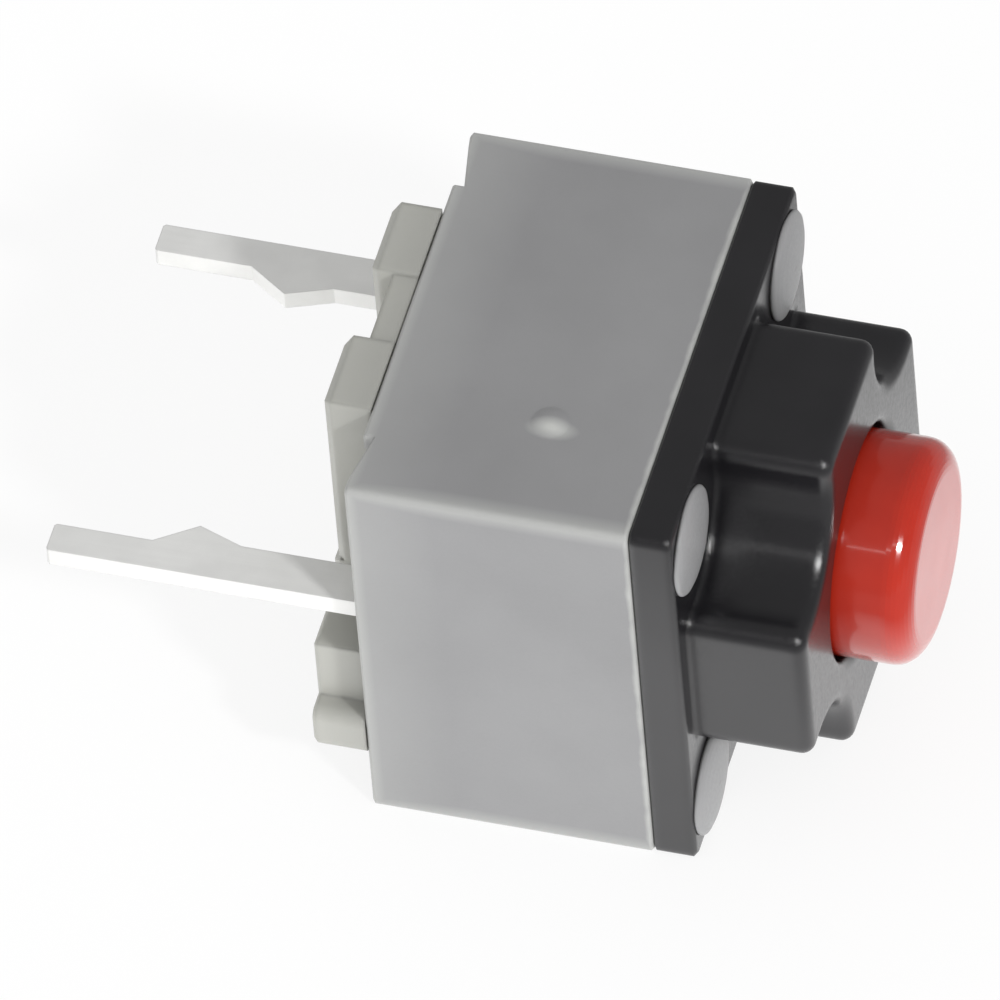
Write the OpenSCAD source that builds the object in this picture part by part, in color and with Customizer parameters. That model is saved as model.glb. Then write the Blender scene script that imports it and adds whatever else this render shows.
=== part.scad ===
// Tactile push button switch, 6 x 6 mm body, lying on one side face.
// Worked out standing on its seat: z = 0 is the board face, +z is the way the
// button points, x runs from pin to pin and y is up once the switch lies down.
// The last step lays it down: row X = z, row Y = x, row Z = y.
// All sizes are in millimetres.

/* [Body] */
// side of the square body
body_width = 6.0; // [5:0.1:8]
// board face to the lower rim of the sleeve
standoff = 0.70; // [0.4:0.05:1.2]
// lower rim of the sleeve to the underside of the cover
housing_depth = 3.60; // [3.4:0.05:5]
// wall of the sleeve
sleeve_wall = 0.26; // [0.2:0.02:0.5]
// rounding of the sleeve's standing edges
sleeve_edge_r = 0.08; // [0.05:0.01:0.4]
// small bevel on the sleeve's rims
sleeve_bevel = 0.03; // [0.02:0.01:0.12]
// diameter of the pip on the upper side face
pip_d = 0.50; // [0.2:0.02:0.8]
// how far the pip stands out
pip_height = 0.06; // [0.04:0.01:0.2]
// how far the pip lies off the middle
pip_side = 1.40; // [0:0.05:2.2]
// how far the pip lies above the lower rim
pip_up = 2.20; // [0.5:0.05:3]
// depth of the four slanted notches in the lower rim
rim_notch_depth = 0.15; // [0.05:0.01:0.3]
// width of those notches
rim_notch_width = 0.80; // [0.4:0.02:1]
// side face to the shallow end of the notch next to it
rim_notch_inset = 0.12; // [0.1:0.01:0.4]

/* [Cover] */
// thickness of the square cover plate
cover_thickness = 0.55; // [0.4:0.05:0.8]
// rounding of the plate's corners
cover_corner_r = 0.12; // [0.1:0.02:0.6]
// height of the four-lobed turret above the plate
turret_height = 1.50; // [1:0.05:2.5]
// side face of the body to the end face of a lobe
turret_inset = 0.335; // [0.3:0.005:0.7]
// thinnest wall of the turret, between its bore and a scoop
scoop_wall = 0.29; // [0.2:0.01:0.6]
// rounding of the lobes' standing edges
lobe_edge_r = 0.20; // [0.1:0.01:0.3]
// rounding of the turret's front edge
turret_edge_r = 0.17; // [0.05:0.01:0.18]
// thickness of the turret's front wall
turret_front = 0.50; // [0.3:0.05:0.8]

/* [Stakes] */
// side face of the body to the axis of a stake
stake_inset = 0.72; // [0.7:0.01:0.9]
// diameter of a flattened stake head
stake_head_d = 1.40; // [1.1:0.02:1.5]
// height of a stake head at its middle
stake_head_height = 0.15; // [0.08:0.01:0.3]
// diameter of the post in the cover
stake_post_d = 0.84; // [0.6:0.02:1]
// gap all round the post in the cover
stake_gap = 0.03; // [0.01:0.01:0.06]

/* [Button] */
// diameter of the button
button_d = 2.86; // [2:0.02:3]
// how far the button stands out of the turret
button_stand = 0.95; // [0.6:0.05:2.5]
// rounding of the button's front edge
button_edge_r = 0.36; // [0.1:0.02:0.6]
// gap all round the button in the turret
button_gap = 0.07; // [0.02:0.01:0.12]
// how far the button goes in
travel = 0.50; // [0.2:0.05:0.55]
// how far the flange that keeps the button in stands out past it
flange_lip = 0.25; // [0.15:0.01:0.3]
// thickness of that flange
flange_thickness = 0.45; // [0.3:0.05:0.6]
// thickness of the soft ring on the flange
damper_thickness = 0.30; // [0.15:0.05:0.4]
// gap all round the stem in the housing's floor
stem_gap = 0.04; // [0.02:0.01:0.08]

/* [Spring] */
// wire of the return spring
spring_wire = 0.18; // [0.1:0.01:0.22]
// side of the button to the outside of the return spring
spring_inset = 0.40; // [0.35:0.01:0.5]
// gap between the stem and the inside of the spring
stem_play = 0.16; // [0.08:0.01:0.3]
// number of turns
spring_turns = 7; // [5:1:9]

/* [Terminals] */
// side face of the body to the outer edge of a pin
pin_inset = 0.285; // [0.28:0.005:0.5]
// board face to the pins' tips
pin_length = 3.35; // [2:0.05:5]
// thickness of the sheet
pin_thickness = 0.27; // [0.15:0.01:0.35]
// width at the tip
pin_tip_width = 0.43; // [0.3:0.01:0.5]
// width over the locking bump
pin_bump_width = 0.78; // [0.6:0.01:0.9]
// width at the root
pin_root_width = 0.57; // [0.45:0.01:0.6]
// tip to the start, the peak and the end of the locking bump
bump_start = 1.25; // [0.8:0.05:1.5]
bump_peak = 1.77; // [1.6:0.01:2]
bump_end = 2.35; // [2.1:0.05:2.6]
// how far the pins lie above the middle of the body
pin_offset = 0.40; // [0.3:0.02:0.5]

/* [Underside] */
// inner face of each ridge from the middle
ridge_inner = 0.55; // [0.4:0.01:0.7]
// side face of the body to the outer face of the ridge next to it
ridge_inset = 1.33; // [1.2:0.01:1.5]
// bevel on the ridges' lower edges
ridge_bevel = 0.10; // [0.03:0.01:0.2]
// how much lower the front run of the ridges is
ridge_step = 0.06; // [0.02:0.01:0.15]
// board face to the floor of the slot
slot_floor = 0.60; // [0.4:0.05:0.7]
// board face to the low bars across the slot's ends
slot_bar = 0.35; // [0.2:0.05:0.5]
// board face to the open floor beside the ridges
side_floor = 0.80; // [0.75:0.05:1]
// lower side face of the body to the end of the side feet
foot_end_inset = 0.94; // [0.8:0.02:1.1]
// length of a side foot
foot_length = 1.60; // [1.2:0.02:1.7]
// length of the wide part at its end
foot_wide_length = 0.66; // [0.5:0.02:1]
// side face of the body to the outer face of a side foot's narrow run
foot_inset = 0.32; // [0.3:0.01:0.6]
// radius of the round recess at two corners
recess_r = 0.60; // [0.4:0.02:0.7]

/* [Contacts] */
// gap between the open contacts
contact_gap = 0.46; // [0.15:0.01:0.5]
// thickness of the leaf
leaf_thickness = 0.07; // [0.05:0.01:0.1]
// width of the leaf
leaf_width = 1.20; // [0.8:0.05:1.4]
// diameter of the fixed contact
contact_d = 0.72; // [0.5:0.02:0.8]
// gap kept between parts that are pushed together
fit_gap = 0.02; // [0.01:0.01:0.04]

/* [Hidden] */
$fn = 64;
// how far joined solids reach into each other, and how far a cut runs past its face
merge = 0.10;
cut = 1;
// play between the base and the sleeve round it
sleeve_gap = 0.03;
half = body_width / 2;
z_rim = standoff;
z_cover = standoff + housing_depth;
z_plate = z_cover + cover_thickness;
z_turret = z_plate + turret_height;
z_top = z_turret + button_stand;
z_ceiling = z_turret - turret_front;
cavity = half - sleeve_wall;
cavity_corner_r = 0.08;
pip_steps = 5;
stake = half - stake_inset;
stake_head_rim = 0.04;
cover_bevel = 0.04;
mouth_r = 0.10;
// the bore that the flange runs in, and the button's hole
flange_d = button_d + 2 * flange_lip;
flange_bore_r = flange_d / 2 + button_gap;
button_hole_r = button_d / 2 + button_gap;
// spring under the button, and the stem inside it
spring_d = button_d - 2 * spring_inset;
stem_d = spring_d - 2 * spring_wire - 2 * stem_play;
// the scoops leave a wall round that bore
lobe_end = half - turret_inset;
scoop_r = stake * sqrt(2) - flange_bore_r - scoop_wall;
// from the top: soft ring, flange, free travel, soft pad
touch_gap = 0.005;
pad_seat = 0.18;
z_flange_top = z_ceiling - damper_thickness;
z_flange = z_flange_top - flange_thickness;
z_pad_top = z_flange - travel;
z_pad = z_cover - pad_seat;
// base: deck, sheet let into it, and its side faces just inside the sleeve
deck_rise = 1.00;
z_deck = standoff + deck_rise;
sheet = 0.25;
z_sheet = z_deck - sheet;
base_half = cavity - sleeve_gap;
base_wall = 0.34;
base_corner_r = 0.30;
// ridges, their step and the bars across the slot's ends
ridge_outer = half - ridge_inset;
ridge_end_inset = 0.18;
ridge_end = half - ridge_end_inset;
step_place = 0;
bar_width = 0.50;
bar_inset = 0.05;
round_bar_width = 0.62;
round_bar_drop = 0.20;
// side feet and recesses
foot_end = half - foot_end_inset;
foot_start = foot_end - foot_length;
foot_widens = foot_end - foot_wide_length;
foot_corner_r = 0.16;
foot_bevel = 0.05;
recess_depth = 1.25;
recess_inset = 0.78;
// pins, with a tab at one corner each
pin_outer = half - pin_inset;
pin_low = pin_offset - pin_thickness / 2;
pin_high = pin_offset + pin_thickness / 2;
pin_chamfer = 0.03;
tab_width = 0.665;
tab_inset = 0.48;
tab_x = pin_outer - tab_width;
tab_y = tab_inset - half;
tab_clearance = 0.05;
terminal_trim = 0.05;
foot_low = terminal_trim - leaf_width / 2;
foot_high = leaf_width / 2 + fit_gap;
left_foot_end = 0.55;
// leaf: it rocks in a cradle on the right terminal, and lies flat when closed
rivet_d = 0.64;
rivet_thickness = 0.12;
contact_thickness = 0.14;
closed_gap = 0.01;
pivot_room = 0.52;
leaf_pivot_x = base_half - base_wall - pivot_room;
leaf_pivot_z = z_deck + contact_thickness + closed_gap + rivet_thickness + leaf_thickness / 2;
leaf_angle = asin(contact_gap / leaf_pivot_x);
leaf_reach = leaf_pivot_x + left_foot_end;
knuckle_r = 0.11;
knuckle_gap = 0.015;
cradle_front = 0.20;
cradle_back = 0.25;
cradle_lip = 0.05;
right_foot_lead = 0.35;
right_foot_start = leaf_pivot_x - right_foot_lead;
// stem: a round tip that just clears the resting leaf
tip_r = 0.35;
tip_gap = 0.03;
tip_taper = 0.24;
z_tip = leaf_pivot_z + (leaf_thickness / 2 + tip_r + tip_gap + contact_gap) / cos(leaf_angle);
// the spring stands on the floor of a cup that hangs from the housing's deck, above the leaf
cup_clearance = 0.364;
cup_floor = 0.40;
cup_wall = 0.45;
deck_thickness = 0.45;
column_width = 1.40;
z_cup_under = leaf_pivot_z + leaf_reach * sin(leaf_angle) + leaf_thickness / 2 + cup_clearance;
z_cup_floor = z_cup_under + cup_floor;
z_deck_under = z_cover - deck_thickness;
spring_cup_gap = 0.15;
spring_pocket_gap = 0.08;
spring_cup_r = spring_d / 2 + spring_cup_gap;
spring_pocket_r = spring_d / 2 + spring_pocket_gap;
button_roof = 0.95;
z_spring_top = z_top - button_roof;
pad_clearance = 0.10;

// square with rounded corners, side w
module rounded_square(w, r) {
    offset(r = r)
        square(w - 2 * r, center = true);
}

// upright prism on that square, with a bevel of b at both ends
module bevelled_prism(w, r, h, b) {
    hull() {
        linear_extrude(height = h)
            rounded_square(w - 2 * b, r);
        translate([0, 0, b])
            linear_extrude(height = h - 2 * b)
                rounded_square(w, r);
    }
}

// block between two corners, bevelled by b round its lower face
module foot_block(x0, x1, y0, y1, z0, z1, b) {
    hull() {
        translate([x0 + b, y0 + b, z0])
            cube([x1 - x0 - 2 * b, y1 - y0 - 2 * b, z1 - z0]);
        translate([x0, y0, z0 + b])
            cube([x1 - x0, y1 - y0, z1 - z0 - b]);
    }
}

// block between two corners
module block(x0, x1, y0, y1, z0, z1) {
    translate([x0, y0, z0])
        cube([x1 - x0, y1 - y0, z1 - z0]);
}

module both_sides() {
    children();
    mirror([1, 0, 0])
        children();
}

module at_stakes() {
    for (sx = [-1, 1])
        for (sy = [-1, 1])
            translate([sx * stake, sy * stake, 0])
                children();
}

// one staked post with its flattened, slightly domed head
module stake_post() {
    translate([0, 0, z_cover - merge])
        cylinder(d = stake_post_d, h = cover_thickness + merge + fit_gap, $fn = 32);
    translate([0, 0, z_plate])
        rotate_extrude($fn = 48)
            polygon(concat(
                [[0, 0], [stake_head_d / 2 - stake_head_rim / 2, 0], [stake_head_d / 2, stake_head_rim / 2]],
                [for (a = [0 : 15 : 90])
                    [stake_head_d / 2 * cos(a), stake_head_rim + (stake_head_height - stake_head_rim) * sin(a)]]));
}

module housing() {
    column = half - (sleeve_wall + column_width) / 2;
    color("#9c9c98")
        difference() {
            union() {
                difference() {
                    translate([0, 0, z_rim])
                        bevelled_prism(body_width, sleeve_edge_r, housing_depth, sleeve_bevel);
                    translate([0, 0, z_rim - cut])
                        linear_extrude(height = z_deck_under - z_rim + cut)
                            rounded_square(2 * cavity, cavity_corner_r);
                }
                // cup for the spring, and columns under the posts
                translate([0, 0, z_cup_under])
                    cylinder(r = spring_cup_r + cup_wall, h = z_cover - merge - z_cup_under);
                for (sx = [-1, 1])
                    for (sy = [-1, 1])
                        translate([sx * column, sy * column, (z_cup_under + z_cover - merge) / 2])
                            cube([column_width, column_width, z_cover - merge - z_cup_under], center = true);
                at_stakes()
                    stake_post();
                // pip on the upper side face, a shallow dome
                translate([-pip_side, half, z_rim + pip_up])
                    rotate([-90, 0, 0])
                        rotate_extrude($fn = 32)
                            polygon(concat(
                                [[0, -merge], [pip_d / 2, -merge]],
                                [for (i = [pip_steps : -1 : 0])
                                    let (t = i / pip_steps)
                                        [pip_d / 2 * t, pip_height * (1 - t * t)]]));
            }
            // seat for the soft pad, well for the spring and hole for the stem
            translate([0, 0, z_pad])
                cylinder(r = flange_d / 2 + fit_gap, h = pad_seat + cut);
            translate([0, 0, z_cup_floor])
                cylinder(r = spring_cup_r, h = z_cover - z_cup_floor + cut);
            translate([0, 0, z_cup_under - cut])
                cylinder(d = stem_d + 2 * stem_gap, h = cup_floor + 2 * cut);
            // four notches in the lower rim
            for (sx = [-1, 1])
                for (sy = [-1, 1])
                    scale([sx, 1, 1])
                        translate([half - rim_notch_inset, sy * half, z_rim])
                            rotate([90, 0, 0])
                                linear_extrude(height = 3 * sleeve_wall, center = true)
                                    polygon([[0, 0], [-rim_notch_width, rim_notch_depth], [-rim_notch_width, -cut],
                                        [0, -cut]]);
        }
}

// foot of the base beside each ridge: narrow at first, then out to the body's side
module side_foot() {
    root = ridge_outer - merge;
    narrow = half - foot_inset;
    corner = half - foot_corner_r;
    hull() {
        block(root, narrow, -foot_widens - merge, -foot_start, foot_bevel, side_floor + merge);
        block(root, narrow - foot_bevel, -foot_widens - merge, -foot_start - foot_bevel, 0, side_floor);
    }
    hull() {
        for (y = [foot_widens + foot_corner_r, foot_end - foot_corner_r])
            for (b = [0, foot_bevel])
                translate([corner, -y, b])
                    cylinder(r = foot_corner_r - foot_bevel + b, h = standoff - fit_gap - b, $fn = 24);
        block(root, ridge_outer, -foot_end + foot_bevel, -foot_widens, 0, standoff - fit_gap);
    }
}

module base() {
    under = standoff - fit_gap;
    color("#a5a5a1")
        difference() {
            union() {
                block(-base_half, base_half, -base_half, base_half, side_floor, z_deck);
                block(-ridge_outer, ridge_outer, -base_half, base_half, slot_floor, side_floor + merge);
                // ridges, the front run a little lower, and their ends under the rim
                both_sides()
                    foot_block(ridge_inner, ridge_outer, -ridge_end, step_place, 0, under, ridge_bevel);
                both_sides()
                    foot_block(ridge_inner, ridge_outer, step_place - 3 * ridge_bevel, half, ridge_step, under,
                        ridge_bevel);
                both_sides()
                    block(ridge_inner, ridge_outer, -base_half, base_half, standoff - merge, side_floor + merge);
                both_sides()
                    side_foot();
                both_sides()
                    block(ridge_outer - merge, half - foot_inset - fit_gap, -foot_end + foot_bevel,
                        -foot_start - fit_gap, standoff - merge, side_floor + merge);
                // low bars across the ends of the slot
                block(-ridge_inner - merge, ridge_inner + merge, half - bar_inset - bar_width, half - bar_inset,
                    slot_bar, under);
                difference() {
                    block(-ridge_inner - merge, ridge_inner + merge, -ridge_end, round_bar_width - ridge_end,
                        slot_bar - round_bar_drop, under);
                    translate([0, round_bar_width - ridge_end, 0])
                        cylinder(r = ridge_inner, h = standoff, $fn = 48);
                }
                // walls that reach up to the housing's columns
                difference() {
                    block(-base_half, base_half, -base_half, base_half, z_deck - merge, z_cup_under - fit_gap);
                    translate([0, 0, z_deck - cut])
                        linear_extrude(height = z_cup_under - z_deck + 2 * cut)
                            rounded_square(2 * (base_half - base_wall), base_corner_r);
                }
            }
            // slots for the pins
            both_sides()
                block(pin_outer - pin_root_width - fit_gap, half, pin_low - fit_gap, pin_high + fit_gap,
                    -cut, z_deck);
            // pockets for the sheets of both terminals
            block(-base_half - cut, left_foot_end + fit_gap, foot_low - fit_gap, foot_high + fit_gap, z_sheet,
                z_deck + merge);
            block(right_foot_start - fit_gap, base_half + cut, foot_low - fit_gap, foot_high + fit_gap, z_sheet,
                z_deck + merge);
            both_sides()
                block(tab_x - fit_gap, base_half + cut, tab_y - fit_gap, foot_low, z_sheet, z_deck + merge);
            // slots for the corner tabs, and the round recess round each
            both_sides()
                block(tab_x - fit_gap, base_half + cut, tab_y - fit_gap, tab_y + sheet + fit_gap, 0, z_deck);
            both_sides()
                translate([half - recess_inset, recess_r - half, 0])
                    cylinder(r = recess_r, h = recess_depth, $fn = 40);
        }
}

// lobed outline of the turret, pulled in by d
function lobe_rise() = lobe_end - lobe_edge_r - stake;
function lobe_run() = sqrt(pow(scoop_r + lobe_edge_r, 2) - pow(lobe_rise(), 2));
function scoop_angle() = atan2(lobe_rise(), -lobe_run());
function lobe_x() = stake - lobe_run();
function quarter(d) = concat(
    [for (a = [90 : -15 : 15])
        [lobe_x() + (lobe_edge_r - d) * cos(a), lobe_end - lobe_edge_r + (lobe_edge_r - d) * sin(a)]],
    [for (i = [0 : 20])
        let (a = scoop_angle() + i * (450 - 2 * scoop_angle()) / 20)
            [stake + (scoop_r + d) * cos(a), stake + (scoop_r + d) * sin(a)]],
    [for (a = [75 : -15 : 0])
        [lobe_end - lobe_edge_r + (lobe_edge_r - d) * cos(a), lobe_x() + (lobe_edge_r - d) * sin(a)]]);
function turned(points, a) = [for (p = points) [p[0] * cos(a) + p[1] * sin(a), p[1] * cos(a) - p[0] * sin(a)]];
function outline(d) = concat(quarter(d), turned(quarter(d), 90), turned(quarter(d), 180), turned(quarter(d), 270));

// turret body: the outline drawn up, its front edge rounded ring by ring
module turret() {
    steps = 6;
    rings = concat(
        [[0, z_plate - merge]],
        [for (i = [0 : steps])
            let (a = i * 90 / steps)
                [turret_edge_r * (1 - cos(a)), z_turret - turret_edge_r * (1 - sin(a))]]);
    n = len(outline(0));
    middles = [[0, 0, z_plate - merge], [0, 0, z_turret]];
    points = concat([for (r = rings) for (p = outline(r[0])) [p[0], p[1], r[1]]], middles);
    last = (len(rings) - 1) * n;
    low_middle = len(rings) * n;
    polyhedron(
        points = points,
        faces = concat(
            [for (i = [0 : n - 1]) [low_middle, (i + 1) % n, i]],
            [for (k = [0 : len(rings) - 2]) for (i = [0 : n - 1])
                [k * n + i, (k + 1) * n + (i + 1) % n, (k + 1) * n + i]],
            [for (k = [0 : len(rings) - 2]) for (i = [0 : n - 1])
                [k * n + i, k * n + (i + 1) % n, (k + 1) * n + (i + 1) % n]],
            [for (i = [0 : n - 1]) [low_middle + 1, last + i, last + (i + 1) % n]]),
        convexity = 6);
}

module cover() {
    color("#2f2f31")
        difference() {
            union() {
                translate([0, 0, z_cover])
                    bevelled_prism(body_width, cover_corner_r, cover_thickness, cover_bevel);
                turret();
            }
            translate([0, 0, z_cover - cut])
                cylinder(r = flange_bore_r, h = z_ceiling - z_cover + cut);
            translate([0, 0, z_ceiling - cut])
                cylinder(r = button_hole_r, h = turret_front + 2 * cut, $fn = 96);
            // rounded mouth of the button's hole
            translate([0, 0, z_turret])
                rotate_extrude($fn = 96)
                    polygon(concat(
                        [[0, -mouth_r], [button_hole_r, -mouth_r]],
                        [for (a = [15 : 15 : 90])
                            [button_hole_r + mouth_r * (1 - cos(a)), mouth_r * (sin(a) - 1)]],
                        [[button_hole_r + mouth_r, cut], [0, cut]]));
            at_stakes()
                translate([0, 0, z_cover - cut])
                    cylinder(d = stake_post_d + 2 * stake_gap, h = cover_thickness + 2 * cut, $fn = 32);
        }
}

module plunger() {
    color("#c1271f")
        rotate_extrude($fn = 96)
            polygon(concat(
                [[0, z_tip - tip_r]],
                [for (a = [15 : 15 : 60]) [tip_r * sin(a), z_tip - tip_r * cos(a)]],
                [[stem_d / 2, z_tip + tip_taper],
                    [stem_d / 2, z_spring_top],
                    [spring_pocket_r, z_spring_top],
                    [spring_pocket_r, z_flange],
                    [flange_d / 2, z_flange],
                    [flange_d / 2, z_flange_top],
                    [button_d / 2, z_flange_top]],
                [for (a = [0 : 10 : 90])
                    [button_d / 2 - button_edge_r * (1 - cos(a)), z_top - button_edge_r * (1 - sin(a))]],
                [[0, z_top]]));
}

// pin blade seen from the front: straight outside, bump inside
module pin_blade() {
    tip = -pin_length;
    translate([0, pin_high, 0])
        rotate([90, 0, 0])
            linear_extrude(height = pin_thickness)
                polygon([
                    [pin_outer - pin_chamfer, tip],
                    [pin_outer, tip + pin_chamfer],
                    [pin_outer, z_deck],
                    [pin_outer - pin_root_width, z_deck],
                    [pin_outer - pin_root_width, tip + bump_end],
                    [pin_outer - pin_bump_width, tip + bump_peak],
                    [pin_outer - pin_tip_width, tip + bump_start],
                    [pin_outer - pin_tip_width, tip + pin_chamfer],
                    [pin_outer - pin_tip_width + pin_chamfer, tip]]);
}

// strip from the foot to the corner, and the tab that turns down there
module corner_tab() {
    block(tab_x, pin_outer, tab_y, foot_low + merge, z_sheet, z_deck);
    block(tab_x, pin_outer, tab_y, tab_y + sheet, z_rim + tab_clearance, z_deck);
}

module terminal_left() {
    color("#d3d3d0") {
        mirror([1, 0, 0]) {
            pin_blade();
            corner_tab();
        }
        block(-pin_outer, left_foot_end, foot_low, foot_high, z_sheet, z_deck);
    }
}

module terminal_right() {
    color("#d3d3d0") {
        pin_blade();
        corner_tab();
        block(right_foot_start, pin_outer, foot_low, foot_high, z_sheet, z_deck);
        // cradle that the leaf rocks in
        difference() {
            block(leaf_pivot_x - cradle_front, leaf_pivot_x + cradle_back, foot_low, foot_high, z_deck - merge,
                leaf_pivot_z - cradle_lip);
            translate([leaf_pivot_x, 0, leaf_pivot_z])
                rotate([90, 0, 0])
                    cylinder(r = knuckle_r + knuckle_gap, h = leaf_width + 2 * cut, center = true, $fn = 40);
        }
    }
}

// places what is drawn flat, with the pivot at the origin, at the leaf's resting slope
module on_leaf() {
    translate([leaf_pivot_x, 0, leaf_pivot_z])
        rotate([0, leaf_angle, 0])
            children();
}

module contact_leaf() {
    color("#c9a56a")
        on_leaf() {
            translate([-leaf_reach, -leaf_width / 2, -leaf_thickness / 2])
                cube([leaf_reach, leaf_width, leaf_thickness]);
            translate([0, leaf_width / 2, 0])
                rotate([90, 0, 0])
                    cylinder(r = knuckle_r, h = leaf_width, $fn = 32);
        }
}

module contact_rivet() {
    color("#dcdcda")
        on_leaf()
            translate([-leaf_pivot_x, 0, -leaf_thickness / 2 - rivet_thickness])
                cylinder(d = rivet_d, h = rivet_thickness, $fn = 40);
}

module fixed_contact() {
    color("#dcdcda")
        translate([0, 0, z_deck])
            cylinder(d = contact_d, h = contact_thickness, $fn = 40);
}

// coil with two close turns at each end; the wire's section is an octagon
module return_spring() {
    turn_steps = 24;
    n = spring_turns * turn_steps;
    r = (spring_d - spring_wire) / 2;
    low = z_cup_floor + spring_wire / 2 + touch_gap;
    high = z_spring_top - spring_wire / 2 - touch_gap;
    close = spring_wire + fit_gap;
    pitch = (high - low - 2 * close) / (spring_turns - 2);
    heights = [for (i = [0 : n])
        let (t = i / turn_steps)
            t < 1 ? low + close * t : t > spring_turns - 1 ? high - close * (spring_turns - t)
                : low + close + pitch * (t - 1)];
    points = [for (i = [0 : n]) for (k = [0 : 7])
        let (a = i * 360 / turn_steps, b = k * 45 + 22.5, q = r + spring_wire / 2 * cos(b))
            [q * cos(a), q * sin(a), heights[i] + spring_wire / 2 * sin(b)]];
    color("#b9bcc0")
        polyhedron(
            points = points,
            faces = concat(
                [[for (k = [0 : 7]) k]],
                [for (i = [0 : n - 1]) for (k = [0 : 7])
                    [i * 8 + k, (i + 1) * 8 + k, (i + 1) * 8 + (k + 1) % 8]],
                [for (i = [0 : n - 1]) for (k = [0 : 7])
                    [i * 8 + k, (i + 1) * 8 + (k + 1) % 8, i * 8 + (k + 1) % 8]],
                [[for (k = [7 : -1 : 0]) n * 8 + k]]),
            convexity = 20);
}

// soft ring on the flange: it meets the turret's ceiling on the way out
module damper_ring() {
    color("#e6e4dd")
        translate([0, 0, z_flange_top])
            difference() {
                cylinder(d = flange_d - 3 * fit_gap, h = damper_thickness);
                translate([0, 0, -cut])
                    cylinder(d = button_d + 2 * fit_gap, h = damper_thickness + 2 * cut);
            }
}

// soft ring in the housing's deck: the flange meets it on the way in
module damper_pad() {
    color("#e6e4dd")
        translate([0, 0, z_pad])
            difference() {
                cylinder(d = flange_d, h = z_pad_top - touch_gap - z_pad);
                translate([0, 0, -cut])
                    cylinder(r = spring_cup_r + pad_clearance, h = z_pad_top - z_pad + 2 * cut);
            }
}

// lays the standing switch on its side, its middle over the origin
module laid() {
    translate([(pin_length - z_top) / 2, 0, half])
        rotate([90, 0, 90])
            children();
}

laid() housing();
laid() base();
laid() cover();
laid() plunger();
laid() terminal_left();
laid() terminal_right();
laid() contact_leaf();
laid() contact_rivet();
laid() fixed_contact();
laid() return_spring();
laid() damper_ring();
laid() damper_pad();
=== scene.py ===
import bpy
import numpy as np
from mathutils import Matrix, Vector


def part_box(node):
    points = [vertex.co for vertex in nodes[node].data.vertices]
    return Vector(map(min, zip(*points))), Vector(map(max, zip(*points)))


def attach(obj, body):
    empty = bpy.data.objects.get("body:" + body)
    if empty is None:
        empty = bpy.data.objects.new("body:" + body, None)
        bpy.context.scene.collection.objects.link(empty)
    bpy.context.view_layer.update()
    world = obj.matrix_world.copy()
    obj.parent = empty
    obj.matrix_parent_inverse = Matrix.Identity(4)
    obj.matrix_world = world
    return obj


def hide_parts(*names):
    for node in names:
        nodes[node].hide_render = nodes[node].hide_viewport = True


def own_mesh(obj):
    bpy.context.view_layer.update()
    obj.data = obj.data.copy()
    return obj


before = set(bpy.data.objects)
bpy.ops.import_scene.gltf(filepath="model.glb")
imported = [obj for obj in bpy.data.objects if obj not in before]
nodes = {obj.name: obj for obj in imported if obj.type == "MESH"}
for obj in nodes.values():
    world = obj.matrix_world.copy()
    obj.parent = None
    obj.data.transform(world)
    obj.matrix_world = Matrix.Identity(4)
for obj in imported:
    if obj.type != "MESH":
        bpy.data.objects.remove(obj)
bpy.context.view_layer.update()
mm = 0.001
print("frame loaded:", len(nodes), "nodes")


# sRGB hex to the linear colour that the shaders take, by the sRGB curve
def linear(hexText):
    parts = [int(hexText[i:i + 2], 16) / 255 for i in (1, 3, 5)]
    return tuple(c / 12.92 if c <= 0.04045 else ((c + 0.055) / 1.055) ** 2.4 for c in parts) + (1.0,)


# one node with its fields set, and its sockets either set to a value or linked. The sockets are
# a dictionary by name or number, or a list in the node's own order: a Map Range has its value,
# where that starts and ends, and what these two become. A Mix has several sockets of one name,
# so it is given 0 for the share, and then 2 and 3 for numbers or 6 and 7 for colours
def addNode(tree, kind, fields, sockets):
    node = tree.nodes.new(kind)
    for name, value in fields.items():
        setattr(node, name, value)
    pairs = sockets.items() if isinstance(sockets, dict) else enumerate(sockets)
    for name, value in pairs:
        if isinstance(value, bpy.types.NodeSocket):
            tree.links.new(value, node.inputs[name])
        else:
            node.inputs[name].default_value = value
    return node


# the node tree of a material or world, emptied
def emptyTree(owner):
    owner.use_nodes = True
    owner.node_tree.nodes.clear()
    return owner.node_tree


# a new material with its principled shader and the coordinates that its patterns read
def startMaterial(name, shaderSockets):
    material = bpy.data.materials.new(name)
    tree = emptyTree(material)
    shader = addNode(tree, "ShaderNodeBsdfPrincipled", {}, shaderSockets)
    addNode(tree, "ShaderNodeOutputMaterial", {}, {"Surface": shader.outputs["BSDF"]})
    place = addNode(tree, "ShaderNodeTexCoord", {}, {}).outputs["Object"]
    return material, tree, shader, place


# the scale at which a pattern's features are sizeMm across, on coordinates in metres
def scaleFor(sizeMm):
    return 1.0 / (sizeMm * mm)


# the greatest of several values
def greatest(tree, values):
    result = values[0]
    for other in values[1:]:
        result = addNode(tree, "ShaderNodeMath", {"operation": "MAXIMUM"}, [result, other]).outputs[0]
    return result


# two close colours that drift into each other in clouds
def cloudyColour(tree, place, look):
    drift = addNode(tree, "ShaderNodeTexNoise", {}, {
        "Vector": place,
        "Scale": scaleFor(look["cloudMm"]),
        "Detail": 3.0,
        "Roughness": 0.55,
    }).outputs["Fac"]
    share = addNode(tree, "ShaderNodeMapRange", {}, [drift, *look["cloudBand"], 0.0, 1.0])
    return addNode(tree, "ShaderNodeMix", {"data_type": "RGBA"}, {
        0: share.outputs["Result"],
        6: linear(look["main"]),
        7: linear(look["second"]),
    }).outputs[2]


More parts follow.
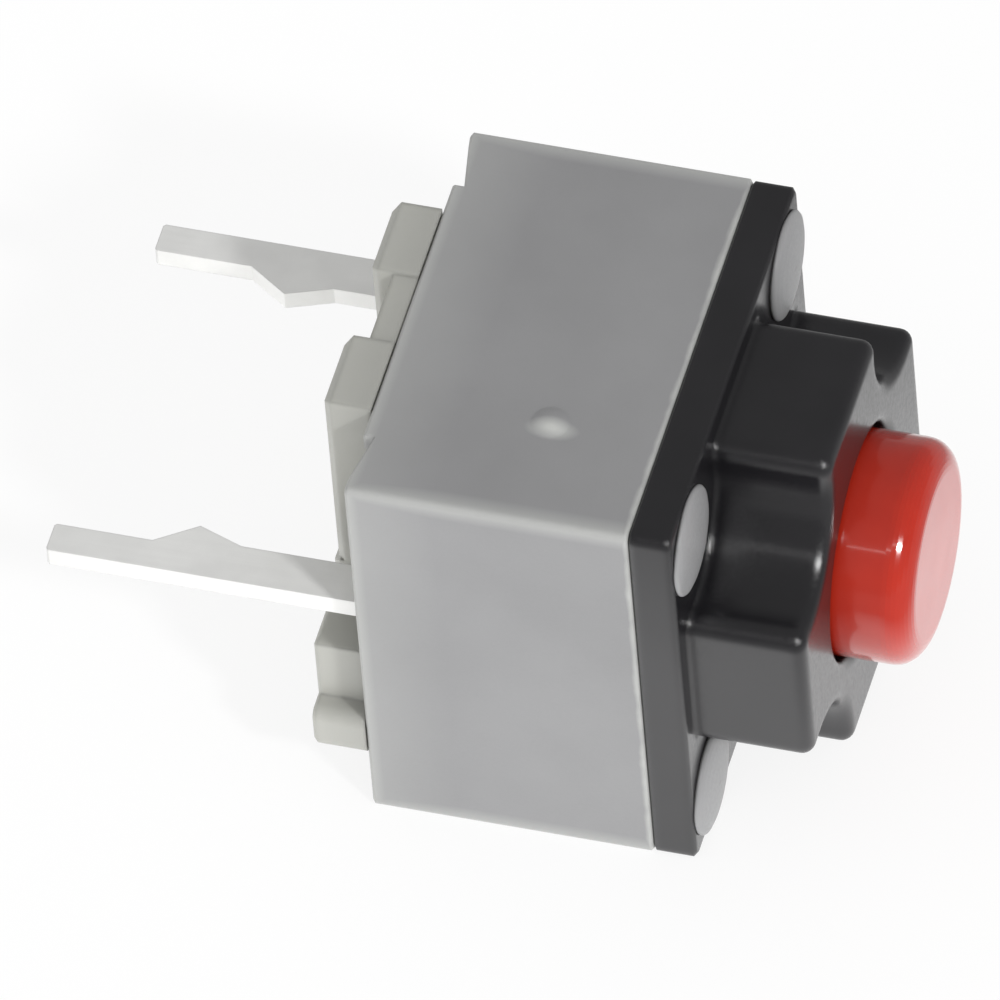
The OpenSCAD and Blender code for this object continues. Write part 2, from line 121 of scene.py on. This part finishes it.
# height pattern to a normal, over edges softened by a small radius
def surfaceNormal(tree, height, look):
    edge = addNode(tree, "ShaderNodeBevel", {"samples": 6}, {"Radius": look["edgeMm"] * mm})
    return addNode(tree, "ShaderNodeBump", {}, {
        "Height": height,
        "Distance": look["reliefDepthMm"] * mm,
        "Strength": 1.0,
        "Normal": edge.outputs["Normal"],
    }).outputs["Normal"]


# a fine relief gives the normal, and the roughness changes with it
def finishMaterial(tree, place, shader, look, colour):
    relief = addNode(tree, "ShaderNodeTexNoise", {}, {
        "Vector": place,
        "Scale": scaleFor(look["reliefMm"]),
        "Detail": look["reliefDetail"],
        "Roughness": 0.55,
    }).outputs["Fac"]
    rough = addNode(tree, "ShaderNodeMapRange", {}, [relief, *look["reliefBand"], *look["roughRange"]])
    tree.links.new(colour, shader.inputs["Base Color"])
    tree.links.new(rough.outputs["Result"], shader.inputs["Roughness"])
    tree.links.new(surfaceNormal(tree, relief, look), shader.inputs["Normal"])


greyNylon = {
    "main": "#868687",
    "second": "#8C8C8D",
    # painted highlight: the pale colour painted along the box's edges and, as a glow, towards the rim;
    # the seam and pip highlights use it too
    "edge": "#B4B5B2",
    "ior": 1.53,
    "scatter": 0.18,
    "scatterRadius": (1.0, 1.0, 0.9),
    "scatterMm": 0.25,
    "cloudMm": 2.6,  # streams of the melt in the mould
    "cloudBand": (0.35, 0.65),
    "reliefMm": 0.045,  # grain of the eroded tool
    "reliefDetail": 2.0,
    "reliefBand": (0.3, 0.7),
    "reliefDepthMm": 0.0010,
    "roughRange": (0.37, 0.49),
    "edgeMm": 0.05,
    # painted light: how far and how strongly the edge highlight reaches, and the glow painted in from
    # the rim
    "glowMm": 0.26,  # how far the pale edges reach
    "glow": 0.65,
    "rimFadeMm": 1.1,
    "paintedRimGlow": 0.26,
    # painted highlights: a pale line along the sleeve's end under the cover, and a pale spot on the
    # pip's lower side
    "hasSeamAndPipHighlights": True,
    "seamHighlightAt": 2.325 * mm,  # the sleeve's end under the cover, along the switch
    "seamHighlightMm": 0.08,
    "seamHighlightLift": 0.9,
    "seamHighlightWaveMm": 0.5,
    "seamHighlightWaveDetail": 2.0,
    "seamHighlightWaverMm": 0.12,
    "pipAt": (0.97 * mm, -1.50 * mm, 6.0 * mm),
    "pipStretch": (0.5, 1.0, 0.2),
    "pipInnerMm": 0.03,
    "pipOuterMm": 0.18,
    "pipHighlightLift": 1.0,
}
baseNylon = {
    **greyNylon,
    "main": "#90908C",
    "second": "#969691",
    # the base gets the same painted edge highlight and rim glow, without the seam and pip highlights
    "edge": "#BDBDB6",
    "edgeMm": 0.10,
    "paintedRimGlow": 0.5,
    "hasSeamAndPipHighlights": False,
}


# a painted highlight: a pale, slightly wavy line along the sleeve's end, against the cover
def paintedSeamHighlight(tree, place, along, look):
    wave = addNode(tree, "ShaderNodeTexNoise", {}, {
        "Vector": place,
        "Scale": scaleFor(look["seamHighlightWaveMm"]),
        "Detail": look["seamHighlightWaveDetail"],
        "Roughness": 0.55,
    }).outputs["Fac"]
    waver = look["seamHighlightWaverMm"] / 2 * mm
    line = [wave, 0.0, 1.0, look["seamHighlightAt"] - waver, look["seamHighlightAt"] + waver]
    line = addNode(tree, "ShaderNodeMapRange", {}, line).outputs["Result"]
    off = addNode(tree, "ShaderNodeMath", {"operation": "SUBTRACT"}, [along, line]).outputs[0]
    off = addNode(tree, "ShaderNodeMath", {"operation": "ABSOLUTE"}, [off]).outputs[0]
    fade = [off, 0.0, look["seamHighlightMm"] * mm, look["seamHighlightLift"], 0.0]
    return addNode(tree, "ShaderNodeMapRange", {}, fade).outputs["Result"]


# a painted highlight on the pale lower side of the pip: a spot that is stretched along the switch
def paintedPipHighlight(tree, place, look):
    off = [place, look["pipAt"]]
    off = addNode(tree, "ShaderNodeVectorMath", {"operation": "SUBTRACT"}, off).outputs[0]
    off = [off, look["pipStretch"]]
    off = addNode(tree, "ShaderNodeVectorMath", {"operation": "MULTIPLY"}, off).outputs[0]
    distance = addNode(tree, "ShaderNodeVectorMath", {"operation": "LENGTH"}, [off]).outputs["Value"]
    fade = [distance, look["pipInnerMm"] * mm, look["pipOuterMm"] * mm, look["pipHighlightLift"], 0.0]
    return addNode(tree, "ShaderNodeMapRange", {}, fade).outputs["Result"]


# how much painted light the nylon gets, from 0 to 1: a painted highlight along the edges of its box,
# and a painted glow slowly towards its rim, where light comes through because it is thin
def paintedLightShare(tree, place, look, lowCorner, highCorner):
    # depth below the box's faces on each axis, as numbers under 0: two near 0 is an edge
    middle = [(a + b) / 2 for a, b in zip(lowCorner, highCorner)]
    half = [(b - a) / 2 for a, b in zip(lowCorner, highCorner)]
    depth = addNode(tree, "ShaderNodeVectorMath", {"operation": "SUBTRACT"}, [place, middle]).outputs[0]
    depth = addNode(tree, "ShaderNodeVectorMath", {"operation": "ABSOLUTE"}, [depth]).outputs[0]
    depth = addNode(tree, "ShaderNodeVectorMath", {"operation": "SUBTRACT"}, [depth, half]).outputs[0]
    axes = addNode(tree, "ShaderNodeSeparateXYZ", {}, [depth]).outputs
    pairs = []
    for a, b in ((0, 1), (1, 2), (0, 2)):
        pair = addNode(tree, "ShaderNodeMath", {"operation": "MINIMUM"}, [axes[a], axes[b]])
        pairs.append(pair.outputs[0])
    # painted highlight along the box's edges
    edge = [greatest(tree, pairs), -look["glowMm"] * mm, 0.0, 0.0, look["glow"]]
    along = addNode(tree, "ShaderNodeSeparateXYZ", {}, [place]).outputs[0]
    # painted glow that fades in from the rim
    rim = [along, lowCorner[0], lowCorner[0] + look["rimFadeMm"] * mm, look["paintedRimGlow"], 0.0]
    shares = []
    for sockets in (edge, rim):
        shares.append(addNode(tree, "ShaderNodeMapRange", {}, sockets).outputs["Result"])
    if look["hasSeamAndPipHighlights"]:
        # the painted seam highlight and the painted pip highlight
        shares.append(paintedSeamHighlight(tree, place, along, look))
        shares.append(paintedPipHighlight(tree, place, look))
    return greatest(tree, shares)


# nylon, moulded in a lightly eroded tool: satin, and light comes through a little at its thin edges;
# its pale edges, rim, seam line and pip are painted highlights in its colour
def mouldedGreyNylon(name, look, lowCorner, highCorner):
    material, tree, shader, place = startMaterial(name, {
        "IOR": look["ior"],
        "Subsurface Weight": look["scatter"],
        "Subsurface Radius": look["scatterRadius"],
        "Subsurface Scale": look["scatterMm"] * mm,
    })
    # the cloudy nylon colour, mixed towards the pale edge colour wherever highlights and glow are
    # painted
    colour = addNode(tree, "ShaderNodeMix", {"data_type": "RGBA"}, {
        0: paintedLightShare(tree, place, look, lowCorner, highCorner),
        6: cloudyColour(tree, place, look),
        7: linear(look["edge"]),
    }).outputs[2]
    finishMaterial(tree, place, shader, look, colour)
    return material


blackPbt = {
    "main": "#151417",
    "second": "#1B1A1D",
    "ior": 1.57,
    "specular": 0.9,
    "cloudMm": 1.6,
    "cloudBand": (0.35, 0.7),
    "reliefMm": 0.05,
    "reliefDetail": 2.0,
    "reliefBand": (0.3, 0.7),
    "reliefDepthMm": 0.0005,
    "roughRange": (0.17, 0.27),
    "edgeMm": 0.14,
}


# PBT, moulded black: near black, with a soft even sheen that turns grey towards the ground
def mouldedBlackPbt(name, look):
    material, tree, shader, place = startMaterial(name, {
        "IOR": look["ior"],
        "Specular IOR Level": look["specular"],
    })
    finishMaterial(tree, place, shader, look, cloudyColour(tree, place, look))
    return material


redAbs = {
    "main": "#B22A19",
    "second": "#A82515",
    "ior": 1.54,
    "scatter": 0.12,
    "scatterRadius": (1.0, 0.25, 0.15),
    "scatterMm": 0.2,
    "coat": 0.7,
    "coatRough": 0.08,
    "cloudMm": 1.4,
    "cloudBand": (0.35, 0.65),
    "reliefMm": 0.6,
    "reliefDetail": 1.0,
    "reliefBand": (0.3, 0.7),
    "reliefDepthMm": 0.0010,
    "roughRange": (0.10, 0.20),
    "edgeMm": 0.03,
}


# ABS, moulded red in a polished tool: glossy, with a faint unevenness in its reflections
def polishedRedAbs(name, look):
    material, tree, shader, place = startMaterial(name, {
        "IOR": look["ior"],
        "Subsurface Weight": look["scatter"],
        "Subsurface Radius": look["scatterRadius"],
        "Subsurface Scale": look["scatterMm"] * mm,
        "Coat Weight": look["coat"],
        "Coat Roughness": look["coatRough"],
    })
    finishMaterial(tree, place, shader, look, cloudyColour(tree, place, look))
    return material


tinnedBrass = {
    "main": "#F2F2F0",
    "second": "#E9E9E7",
    "metallic": 0.35,
    "cloudMm": 0.9,
    "cloudBand": (0.35, 0.7),
    "streakLongMm": 1.2,
    "reliefMm": 0.05,
    "reliefDetail": 2.0,
    "reliefBand": (0.3, 0.7),
    "reliefDepthMm": 0.0012,
    "roughRange": (0.44, 0.60),
    "edgeMm": 0.025,
}
bronzeLeaf = {
    **tinnedBrass,
    "main": "#D9B27C",
    "second": "#BC8F58",
    "metallic": 1.0,
    "streakLongMm": 1.5,
    "reliefDepthMm": 0.0008,
    "roughRange": (0.22, 0.38),
    "edgeMm": 0.01,
}
silverContact = {
    **bronzeLeaf,
    "main": "#ECEBE8",
    "second": "#D2D0CB",
    "streakLongMm": 0.2,
    "reliefMm": 0.08,
    "roughRange": (0.16, 0.32),
    "edgeMm": 0.02,
}
steelWire = {
    **bronzeLeaf,
    "main": "#C6C8CA",
    "second": "#A3A6A9",
    "streakLongMm": 0.6,
    "reliefDepthMm": 0.0006,
    "roughRange": (0.19, 0.35),
    "edgeMm": 0.02,
}


# a worked metal: streaks along one direction, drawn as coarse as they need to be to show.
# Matte tin scatters much of its light, so it isn't given as all metal; the others are
def streakedMetal(name, look, along):
    material, tree, shader, place = startMaterial(name, {"Metallic": look["metallic"]})
    stretch = [1.0, 1.0, 1.0]
    stretch[along] = look["streakLongMm"] / look["reliefMm"]
    drawn = addNode(tree, "ShaderNodeMapping", {"vector_type": "TEXTURE"}, {
        "Vector": place,
        "Scale": stretch,
    }).outputs["Vector"]
    finishMaterial(tree, drawn, shader, look, cloudyColour(tree, place, look))
    return material


milkySilicone = {
    "main": "#E6E3DA",
    "second": "#D8D4C9",
    "ior": 1.41,
    "rough": 0.5,
    "scatter": 0.4,
    "scatterRadius": (1.0, 0.9, 0.8),
    "scatterMm": 0.3,
    "reliefMm": 0.06,
    "reliefDetail": 2.0,
    "reliefDepthMm": 0.001,
    "edgeMm": 0.02,
}


# silicone rubber, moulded: milky and soft, it scatters light inside
def mouldedSilicone(name, look):
    material, tree, shader, place = startMaterial(name, {
        "IOR": look["ior"],
        "Roughness": look["rough"],
        "Subsurface Weight": look["scatter"],
        "Subsurface Radius": look["scatterRadius"],
        "Subsurface Scale": look["scatterMm"] * mm,
    })
    grain = addNode(tree, "ShaderNodeTexNoise", {}, {
        "Vector": place,
        "Scale": scaleFor(look["reliefMm"]),
        "Detail": look["reliefDetail"],
        "Roughness": 0.55,
    }).outputs["Fac"]
    colour = addNode(tree, "ShaderNodeMix", {"data_type": "RGBA"}, {
        0: grain,
        6: linear(look["main"]),
        7: linear(look["second"]),
    }).outputs[2]
    tree.links.new(colour, shader.inputs["Base Color"])
    tree.links.new(surfaceNormal(tree, grain, look), shader.inputs["Normal"])
    return material


# one material on the whole of each of these nodes
def dress(material, *nodeNames):
    for nodeName in nodeNames:
        slots = nodes[nodeName].data.materials
        slots.clear()
        slots.append(material)


# the box whose edges get the painted pale highlight on the sleeve: its top is below the pip, and its
# end under the cover is put far away, because the sleeve shows no edge there
sleeveBox = {
    "end": 9.0 * mm,
    "top": 6.0 * mm,
}
sleeveLow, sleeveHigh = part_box("housing")
sleeveHigh = (sleeveBox["end"], sleeveHigh[1], sleeveBox["top"])
dress(mouldedGreyNylon("greyNylonMoulded", greyNylon, sleeveLow, sleeveHigh), "housing")
dress(mouldedGreyNylon("greyNylonBaseMoulded", baseNylon, *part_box("base")), "base")
dress(mouldedBlackPbt("blackPbtMoulded", blackPbt), "cover")
dress(polishedRedAbs("redAbsPolished", redAbs), "plunger")
dress(streakedMetal("tinPlatedBrassStamped", tinnedBrass, 0), "terminal_left", "terminal_right")
dress(streakedMetal("phosphorBronzeRolled", bronzeLeaf, 1), "contact_leaf")
dress(streakedMetal("silverCoined", silverContact, 1), "contact_rivet", "fixed_contact")
springSteel = streakedMetal("springSteelDrawn", steelWire, 2)
dress(springSteel, "return_spring")
dress(mouldedSilicone("siliconeMoulded", milkySilicone), "damper_ring", "damper_pad")
print("materials on", len(nodes), "nodes")


returnSpring = {
    "turns": 7,
    "wire": 0.18 * mm,
    "closeTurn": 0.185 * mm,  # climb of the first turn and of the last
    "stepsPerTurn": 48,
    "stepsRoundWire": 12,
    "fixedEnd": 1.425 * mm,  # the floor of the cup that the coil stands in
    "travel": 0.5 * mm,
}


# the return spring, drawn at one length though it shortens as the button goes in: a round wire carried
# along a coil.
# The coil turns evenly with its length, its first and last turns lie close, and the ones between
# climb evenly; round the wire each point is the coil's radius plus the cosine of the wire's angle
# outwards, and the sine of it along the coil's axis
def makeReturnSpring(look, lowCorner, highCorner, material):
    wireRadius = look["wire"] / 2
    coilRadius = (highCorner[1] - lowCorner[1]) / 2 - wireRadius
    middleY = (highCorner[1] + lowCorner[1]) / 2
    middleZ = (highCorner[2] + lowCorner[2]) / 2
    first = lowCorner[0] + wireRadius
    last = highCorner[0] - wireRadius
    turns = look["turns"]
    turn = np.linspace(0.0, turns, turns * look["stepsPerTurn"] + 1)[:, None]
    climbTurns = [0, 1, turns - 1, turns]
    climbPlaces = [first, first + look["closeTurn"], last - look["closeTurn"], last]
    wireAngle = np.linspace(0.0, 2 * np.pi, look["stepsRoundWire"], endpoint=False)[None, :]
    reach = coilRadius + wireRadius * np.cos(wireAngle)
    x = np.interp(turn, climbTurns, climbPlaces) + wireRadius * np.sin(wireAngle)
    y = middleY + reach * np.cos(2 * np.pi * turn)
    z = middleZ + reach * np.sin(2 * np.pi * turn)
    points = np.stack([x, y, z], axis=-1).reshape(-1, 3)
    # four-sided faces between neighbouring rings of points, and one flat face at each cut end
    number = np.arange(x.size).reshape(x.shape)
    after = np.roll(number, -1, axis=1)
    sides = np.stack([number[:-1], number[1:], after[1:], after[:-1]], axis=-1).reshape(-1, 4)
    ends = [number[0].tolist(), number[-1][::-1].tolist()]
    mesh = bpy.data.meshes.new("coiledReturnSpring")
    mesh.from_pydata(points.tolist(), [], sides.tolist() + ends)
    mesh.polygons.foreach_set("use_smooth", np.ones(len(mesh.polygons), dtype=bool))
    mesh.materials.append(material)
    piece = bpy.data.objects.new("coiledReturnSpring", mesh)
    bpy.context.scene.collection.objects.link(piece)
    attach(piece, "body")
    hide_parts("return_spring")
    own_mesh(piece)
    return piece


spring = makeReturnSpring(returnSpring, *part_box("return_spring"), springSteel)
print("return spring coiled,", len(spring.data.polygons), "faces")


studio = {
    "floorSize": 3.0,
    "floorColour": "#F8F8F8",
    "floorWhite": 0.82,  # share of plain white in what is seen of the floor
    "tableShare": 0.6,  # share of the table's glow in the light that the floor gives
    "tableGlow": 2.1,
    "glossNear": 0.0065,  # in reflections the floor is white up to here
    "glossFar": 0.0105,  # and at its darkest from here on
    "glossLow": 0.15,
    "room": 0.75,
    "roomInReflections": 0.20,
}
lamps = [
    {
        "name": "keyLamp",
        "place": (0.36, -0.26, 0.34),
        "size": (0.05, 0.05),
        "power": 1.3,
        "inReflections": True,
    },
    {
        "name": "tubeLamp",
        "place": (0.12, -0.29, 0.38),
        "size": (0.50, 0.012),
        "power": 0.09,
        "inReflections": True,
    },
    {
        "name": "frontLamp",
        "place": (-0.10, -0.50, 0.16),
        "size": (0.36, 0.36),
        "power": 0.35,
        "inReflections": False,
    },
]


# floor with a soft shadow: what the camera and the reflections see of it is lifted towards white,
# in reflections it falls off with the distance from the switch, and as on a light table
# it glows a little, which lights the sides from below
def makeFloor(look):
    side = look["floorSize"] / 2
    corners = [(-side, -side, 0), (side, -side, 0), (side, side, 0), (-side, side, 0)]
    mesh = bpy.data.meshes.new("studioFloor")
    mesh.from_pydata(corners, [], [(0, 1, 2, 3)])
    floor = bpy.data.objects.new("studioFloor", mesh)
    bpy.context.scene.collection.objects.link(floor)
    material = bpy.data.materials.new("paperFloor")
    tree = emptyTree(material)
    ray = addNode(tree, "ShaderNodeLightPath", {}, {}).outputs
    seen = greatest(tree, [ray["Is Camera Ray"], ray["Is Glossy Ray"], ray["Is Transmission Ray"]])
    paper = addNode(tree, "ShaderNodeBsdfDiffuse", {}, {"Color": linear(look["floorColour"])})
    place = addNode(tree, "ShaderNodeTexCoord", {}, {}).outputs["Object"]
    distance = addNode(tree, "ShaderNodeVectorMath", {"operation": "LENGTH"}, [place]).outputs["Value"]
    fade = [distance, look["glossNear"], look["glossFar"], 1.0, look["glossLow"]]
    fade = addNode(tree, "ShaderNodeMapRange", {}, fade).outputs["Result"]
    glow = addNode(tree, "ShaderNodeMix", {"data_type": "FLOAT"}, {
        0: seen,
        2: look["tableGlow"],
        3: 1.0,
    }).outputs[0]
    level = addNode(tree, "ShaderNodeMix", {"data_type": "FLOAT"}, {
        0: ray["Is Glossy Ray"],
        2: glow,
        3: fade,
    }).outputs[0]
    white = addNode(tree, "ShaderNodeEmission", {}, {"Color": (1, 1, 1, 1), "Strength": level})
    share = addNode(tree, "ShaderNodeMix", {"data_type": "FLOAT"}, {
        0: seen,
        2: look["tableShare"],
        3: look["floorWhite"],
    }).outputs[0]
    mixed = addNode(tree, "ShaderNodeMixShader", {}, [share, paper.outputs[0], white.outputs[0]])
    addNode(tree, "ShaderNodeOutputMaterial", {}, {"Surface": mixed.outputs[0]})
    mesh.materials.append(material)


# room light: even and dim, dimmer in reflections, and white to the camera
def makeWorld(look):
    world = bpy.data.worlds.new("studioRoom")
    bpy.context.scene.world = world
    tree = emptyTree(world)
    ray = addNode(tree, "ShaderNodeLightPath", {}, {}).outputs
    level = addNode(tree, "ShaderNodeMix", {"data_type": "FLOAT"}, {
        0: ray["Is Glossy Ray"],
        2: look["room"],
        3: look["roomInReflections"],
    }).outputs[0]
    strength = addNode(tree, "ShaderNodeMix", {"data_type": "FLOAT"}, {
        0: ray["Is Camera Ray"],
        2: level,
        3: 1.0,
    }).outputs[0]
    back = addNode(tree, "ShaderNodeBackground", {}, {"Color": (1, 1, 1, 1), "Strength": strength})
    addNode(tree, "ShaderNodeOutputWorld", {}, {"Surface": back.outputs[0]})


# a flat lamp that looks at the switch, its long side level; the tube draws long streaks on round faces
def makeLamp(look):
    data = bpy.data.lights.new(look["name"], "AREA")
    data.shape = "RECTANGLE"
    data.size, data.size_y = look["size"]
    data.energy = look["power"]
    lamp = bpy.data.objects.new(look["name"], data)
    lamp.location = look["place"]
    lamp.rotation_euler = (-Vector(look["place"])).to_track_quat("-Z", "Y").to_euler()
    lamp.visible_glossy = look["inReflections"]
    bpy.context.scene.collection.objects.link(lamp)


makeFloor(studio)
makeWorld(studio)
for look in lamps:
    makeLamp(look)
print("studio lit by", len(lamps), "lamps")


# where the photograph was taken from, in millimetres; its lens, as the focal length and the width
# of the framed square in the photograph's pixels; and what the camera sees from and to, in metres
photoCamera = {
    "place": (101.65, -292.8, 363.09),
    "target": (-0.2, -0.301, 3.0),
    "up": (-0.1633, 0.7427, 0.6494),
    "focalPixels": 11538,
    "framePixels": 300,
    "sensor": 36.0,
    "clip": (0.01, 10.0),
}


# the camera's axes: backwards from the target, across, and up
def makeCamera(look):
    place = Vector(look["place"]) * mm
    backward = (place - Vector(look["target"]) * mm).normalized()
    across = Vector(look["up"]).cross(backward).normalized()
    upward = backward.cross(across)
    data = bpy.data.cameras.new("photoCamera")
    data.sensor_width = look["sensor"]
    data.lens = look["focalPixels"] / look["framePixels"] * look["sensor"]
    data.clip_start, data.clip_end = look["clip"]
    camera = bpy.data.objects.new("photoCamera", data)
    turn = Matrix((across, upward, backward)).transposed().to_4x4()
    camera.matrix_world = Matrix.Translation(place) @ turn
    bpy.context.scene.collection.objects.link(camera)
    bpy.context.scene.camera = camera


makeCamera(photoCamera)
bpy.context.scene.view_settings.view_transform = "Standard"
print("camera placed")
